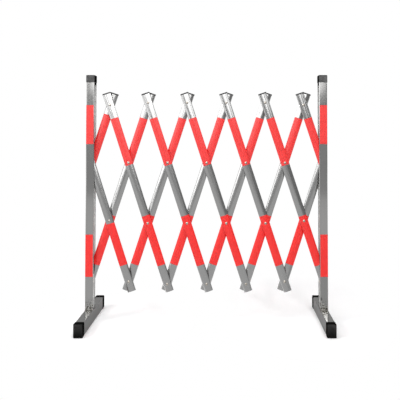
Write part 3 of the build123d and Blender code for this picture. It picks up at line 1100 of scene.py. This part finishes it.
class BARRIER_OT_caps(bpy.types.Operator):
    """Makes the black caps on the posts and feet, with ribs on the feet's caps"""

    bl_idname = "barrier.caps"
    bl_label = "End Caps"

    def execute(self, context):
        sizes = context.scene.barrier_sizes
        section = (sizes.post_width, sizes.post_width, sizes.post_corner)
        post, post_wear = cap_rows(sizes, *section, sizes.post_cap_length)
        section = (sizes.foot_width, sizes.foot_height, sizes.foot_corner)
        foot, foot_wear = cap_rows(sizes, *section, sizes.foot_cap_length, ribbed=True)
        start = cad_high.y - sizes.foot_cap_length
        tree = rib_tree()
        for side, sign in SIDES:
            centre = np.array([sign * POST_PLACE, 0, cad_high.z - sizes.post_cap_length])
            skin = Skin()
            skin.add([loop + centre for loop in post], capped=True, rub=post_wear)
            skin.add([loop + centre for loop in self.stopper(sizes, -sign)], capped=True)
            for end in (-1, 1):
                loops = [foot_frame(loop * (1, 1, end) + (0, 0, end * start), sign) for loop in foot]
                skin.add(loops, capped=True, rub=foot_wear)
            looks = (f"{side}_post", "Black Plastic", "black_plastic")
            skin.piece(f"{side}_black_caps", *looks, f"{side}_end_caps")
            name = f"{side}_cap_ribs"
            add_piece(name, self.ribs(sizes, tree, name, sign), *looks)
        return {"FINISHED"}

    def stopper(self, sizes, mouth):
        """Loops of the block inside a post's cap, whose lower end fills the top of the slot. Its black lower
        end is partly an insert and partly painted shade: a dark part put where the cap's shade falls.
        """
        half = sizes.post_width / 2
        back = half - sizes.post_wall - sizes.cap_play
        depth = sizes.slot_width - 2 * sizes.cap_play
        middle = (mouth * (half - back) / 2, 0, 0)
        edge = MOULDED_EDGE / 2
        drop = -sizes.stopper_drop
        rows = ((-edge, drop), (0.0, drop + edge), (0.0, sizes.post_cap_length - sizes.cap_top))
        section = (half + back, depth, 2 * edge)
        return [lift(rounded_loop(*section, grow), place) + middle for grow, place in rows]

    def ribs(self, sizes, tree, name, sign):
        """Fine upright ribs in the sunk field on the end faces of the feet's caps."""
        border = 2 * sizes.rib_border
        count = int((sizes.foot_width - border) / sizes.rib_spacing)
        points = []
        for end in (-1, 1):
            for step in range(count):
                x = sign * POST_PLACE + (step - (count - 1) / 2) * sizes.rib_spacing
                points.append((x, end * (cad_high.y - sizes.rib_radius), FOOT_MIDDLE))
        values = {"Radius": sizes.rib_radius, "Height": sizes.foot_height - border}
        return grown(name, tree, points, [], values | {"Finish": finish_of("Black Plastic")})


class BARRIER_OT_pins(bpy.types.Operator):
    """Makes the pivot pins, with peened ends, and finishes the sliding shoes"""

    bl_idname = "barrier.pins"
    bl_label = "Pins And Shoes"

    def execute(self, context):
        sizes = context.scene.barrier_sizes
        half = sizes.post_width / 2
        peened = sizes.pin_radius + PEENED_EDGE
        profile = dome(peened, -half, -sizes.pin_dome, 5)[::-1]
        profile += [(sizes.pin_radius, TINY_EDGE - half), (sizes.pin_radius, half - TINY_EDGE)]
        profile += dome(peened, half, sizes.pin_dome, 5)
        for side, sign in SIDES:
            centre = np.array([-sign * PIVOT[0], 0, PIVOT[2]])
            skin = Skin()
            skin.add([loop + centre for loop in lathe(profile)], capped=True)
            looks = (f"{side}_post", "Post Steel", "rivet_steel")
            skin.piece(f"{side}_peened_pin", *looks, f"{side}_pivot_pin")
            shoe = frame["nodes"][f"{side}_slider"].data
            shoe.materials.clear()
            shoe.materials.append(finish_of("Nylon"))
        return {"FINISHED"}


class BARRIER_OT_welds(bpy.types.Operator):
    """Lays a weld bead along the front and rear of each post's base"""

    bl_idname = "barrier.welds"
    bl_label = "Welds"

    def execute(self, context):
        sizes = context.scene.barrier_sizes
        tree = weld_tree()
        half = sizes.post_width / 2
        reach = half - sizes.post_corner
        stand = BEAD_STAND * sizes.weld_bead
        values = {"Bead": sizes.weld_bead, "Spacing": sizes.weld_spacing, "Finish": finish_of("Weld Steel")}
        for order, (side, sign) in enumerate(SIDES):
            points = []
            for end in (-1, 1):
                for x in (-reach, reach):
                    points.append((sign * POST_PLACE + x, end * (half + stand), FOOT_BOX[1].z + stand))
            name = f"{side}_post_weld"
            mesh = grown(name, tree, points, [(0, 1), (2, 3)], values | {"Seed": WELD_SEED + order})
            add_piece(name, mesh, f"{side}_post", "Weld Steel", "post_steel")
        return {"FINISHED"}


# The studio


def seen_ray(tree):
    """One for a ray that shows the background: from the camera, or off or through a shiny surface."""
    path = put(tree, "ShaderNodeLightPath").outputs
    seen = plus(tree, path["Is Camera Ray"], path["Is Glossy Ray"], True)
    return plus(tree, seen, path["Is Transmission Ray"], True)


def sheet_of(name, low, high):
    """A flat sheet between two opposite corners, which have one coordinate in common."""
    (left, front, bottom), (right, rear, top) = low, high
    corners = [low, (right, rear, bottom), high, (left, front, top)]
    if bottom == top:
        corners = [low, (right, front, top), high, (left, rear, top)]
    mesh = bpy.data.meshes.new(name)
    mesh.from_pydata(corners, [], [(0, 1, 2, 3)])
    sheet = bpy.data.objects.new(name, mesh)
    bpy.context.scene.collection.objects.link(sheet)
    return sheet


def card(name, low, high, level, rise=None, twice=False):
    """A card that only shiny surfaces show. It may brighten between two heights, or need two reflections."""
    sheet = sheet_of(name, low, high)
    finish = bpy.data.materials.new(name)
    tree, surface = new_tree(finish)
    strength = 1.0
    if rise:
        strength = ranged(tree, height_of(tree, object_place(tree)), *rise, 0.13, 1.0)
    if twice:
        bounces = put(tree, "ShaderNodeLightPath").outputs["Glossy Depth"]
        strength = maths(tree, "GREATER_THAN", bounces, 1.5)
        finish.cycles.emission_sampling = "NONE"
    inputs = {"Color": (level, level, level, 1.0), "Strength": strength}
    tree.links.new(out_of(tree, "ShaderNodeEmission", inputs), surface)
    sheet.data.materials.append(finish)
    sheet.visible_camera = False
    sheet.visible_diffuse = False
    sheet.visible_shadow = False
    sheet.visible_transmission = False


def soft_light(name, place, aim, size, power):
    """A rectangular soft light that points at a place."""
    lamp = bpy.data.lights.new(name, "AREA")
    lamp.shape = "RECTANGLE"
    lamp.size, lamp.size_y = size
    lamp.energy = power
    light = bpy.data.objects.new(name, lamp)
    bpy.context.scene.collection.objects.link(light)
    light.location = place
    light.rotation_euler = (Vector(aim) - Vector(place)).to_track_quat("-Z", "Y").to_euler()
    light.visible_camera = False


class BARRIER_OT_stage(bpy.types.Operator):
    """Makes the pale floor, the studio light and the camera"""

    bl_idname = "barrier.stage"
    bl_label = "Studio"

    def execute(self, context):
        context.scene.view_settings.view_transform = "Standard"
        self.floor()
        self.world(context.scene)
        self.cards()
        self.lights()
        self.camera(context.scene)
        return {"FINISHED"}

    def floor(self):
        """Round the feet the floor shows shadows, and farther out it is plain white."""
        floor = sheet_of("floor", (-ROOM, -ROOM, 0.0), (ROOM, ROOM, 0.0))
        finish = bpy.data.materials.new("Pale Floor")
        tree, surface = new_tree(finish)
        inner = POST_PLACE - 0.08
        shown = seen_ray(tree)
        for middle in ((-inner, 0.0, 0.0), (inner, 0.0, 0.0), (inner, 0.4, 0.0)):
            inputs = {0: object_place(tree), 1: middle}
            away = put(tree, "ShaderNodeVectorMath", inputs, operation="DISTANCE").outputs["Value"]
            shown = maths(tree, "MINIMUM", shown, ranged(tree, away, 0.18, 0.42, 0.1, 1.0))
        lit = out_of(tree, "ShaderNodeBsdfDiffuse", {"Color": (0.985, 0.985, 0.99, 1.0)})
        white = out_of(tree, "ShaderNodeEmission", {"Color": WHITE, "Strength": 1.0})
        tree.links.new(out_of(tree, "ShaderNodeMixShader", {0: shown, 1: lit, 2: white}), surface)
        floor.data.materials.append(finish)

    def world(self, scene):
        """Soft light from all round, and a white background."""
        scene.world = bpy.data.worlds.new("Studio")
        tree, surface = new_tree(scene.world, "ShaderNodeOutputWorld")
        light = out_of(tree, "ShaderNodeBackground", {"Color": WHITE, "Strength": 0.2})
        white = out_of(tree, "ShaderNodeBackground", {"Color": WHITE, "Strength": 1.0})
        tree.links.new(out_of(tree, "ShaderNodeMixShader", {0: seen_ray(tree), 1: light, 2: white}), surface)

    def cards(self):
        """Grey walls and floor, bright cards on them and a small grey one before the front light."""
        card("wall_middle", (-2.7, WALL, 0.0), (1.75, WALL, CEILING), 0.42)
        card("wall_left", (-ROOM, WALL, 0.0), (-2.7, WALL, CEILING), 0.3)
        card("wall_right", (1.75, WALL, 0.0), (ROOM, WALL, CEILING), 0.24)
        for side, sign in SIDES:
            card(f"side_{side}", (sign * ROOM, WALL, 0.0), (sign * ROOM, 6.0, CEILING), 0.12)
        depth = WALL + 0.05
        card("low_left", (-ROOM, depth, 0.0), (-2.6, depth, 0.55), 1.8)
        card("high_left", (-ROOM, depth, 0.85), (-2.12, depth, CEILING), 2.8)
        card("high_right", (1.55, depth, 1.8), (3.4, depth, CEILING), 2.0)
        depth = WALL + 0.1
        card("edge_left", (-1.8, depth, 1.38), (-1.6, depth, 3.0), 3.2, (1.4, 1.62))
        card("edge_right", (1.28, depth, 1.38), (1.44, depth, 3.0), 3.2, (1.4, 1.62))
        depth = WALL + 0.15
        card("spark_left", (-2.05, depth, 1.7), (-1.7, depth, 1.95), 16.0, twice=True)
        card("spark_right", (1.33, depth, 1.7), (1.68, depth, 1.95), 16.0, twice=True)
        depth = WALL + 0.12
        card("flag_right", (0.85, depth, 0.9), (1.6, depth, 1.3), 0.3)
        card("floor_left", (-ROOM, WALL, 0.002), (-3.4, -1.2, 0.002), 1.8)
        card("floor_middle", (-3.4, WALL, 0.002), (6.0, -0.25, 0.002), 0.66)
        card("floor_right", (0.62, -1.0, 0.003), (6.0, -0.25, 0.003), 0.5)

    def lights(self):
        """Soft lights before the wall behind the camera, one above and one from each side."""
        depth = WALL + 0.1
        soft_light("front_light", (-0.16, depth, 2.05), (-0.16, 0, 2.05), (2.88, 1.9), 38.0)
        soft_light("front_left_light", (-4.2, depth, 3.4), (0, 0, 1.2), (2.2, 1.6), 26.0)
        soft_light("front_right_light", (4.2, depth, 3.4), (0, 0, 1.2), (2.2, 1.6), 26.0)
        soft_light("top_light", (0, 0, 3.6), (0, 0, 0), (4.0, 4.0), 122.0)
        soft_light("left_light", (-2.0, -0.9, 2.1), (-0.5, 0, 0), (0.7, 0.7), 19.0)
        soft_light("right_light", (0.9, -2.4, 2.2), (0.5, 0, 0), (0.3, 0.3), 15.0)

    def camera(self, scene):
        """Camera at the photograph's place, looking up a little and shifted as its frame is cropped."""
        lens = bpy.data.cameras.new("camera")
        lens.lens = 44.953
        lens.sensor_width = 36.0
        lens.shift_x = -0.0672
        lens.shift_y = -0.2041
        camera = bpy.data.objects.new("camera", lens)
        camera.location = (0.0983, -2.4536, 0.9262)
        camera.rotation_euler = (pi / 2 + 0.0254, 0, 0)
        scene.collection.objects.link(camera)
        scene.camera = camera


class BARRIER_PT_panel(bpy.types.Panel):
    """Lists the barrier's pieces, sizes and finishes"""

    bl_idname = "BARRIER_PT_panel"
    bl_label = "Expandable Barrier"
    bl_space_type = "VIEW_3D"
    bl_region_type = "UI"
    bl_category = "Barrier"

    def draw(self, context):
        layout = self.layout
        for operator in OPERATORS:
            layout.operator(operator.bl_idname)
        for group in (context.scene.barrier_finish, context.scene.barrier_sizes):
            box = layout.box()
            for key in group.__annotations__:
                box.prop(group, key)


OPERATORS = (
    BARRIER_OT_stage,
    BARRIER_OT_bars,
    BARRIER_OT_bands,
    BARRIER_OT_plugs,
    BARRIER_OT_rivets,
    BARRIER_OT_posts,
    BARRIER_OT_feet,
    BARRIER_OT_caps,
    BARRIER_OT_pins,
    BARRIER_OT_welds,
)
CLASSES = (BarrierSizes, BarrierFinish, *OPERATORS, BARRIER_PT_panel)


def register():
    for item in CLASSES:
        bpy.utils.register_class(item)
    bpy.types.Scene.barrier_sizes = bpy.props.PointerProperty(type=BarrierSizes)
    bpy.types.Scene.barrier_finish = bpy.props.PointerProperty(type=BarrierFinish)


def unregister():
    del bpy.types.Scene.barrier_finish
    del bpy.types.Scene.barrier_sizes
    for item in reversed(CLASSES):
        bpy.utils.unregister_class(item)


def main():
    register()
    bpy.ops.barrier.stage()
    bpy.ops.barrier.bars()
    bpy.ops.barrier.bands()
    bpy.ops.barrier.plugs()
    bpy.ops.barrier.rivets()
    bpy.ops.barrier.posts()
    bpy.ops.barrier.feet()
    bpy.ops.barrier.caps()
    bpy.ops.barrier.pins()
    bpy.ops.barrier.welds()


if __name__ == "__main__":
    main()
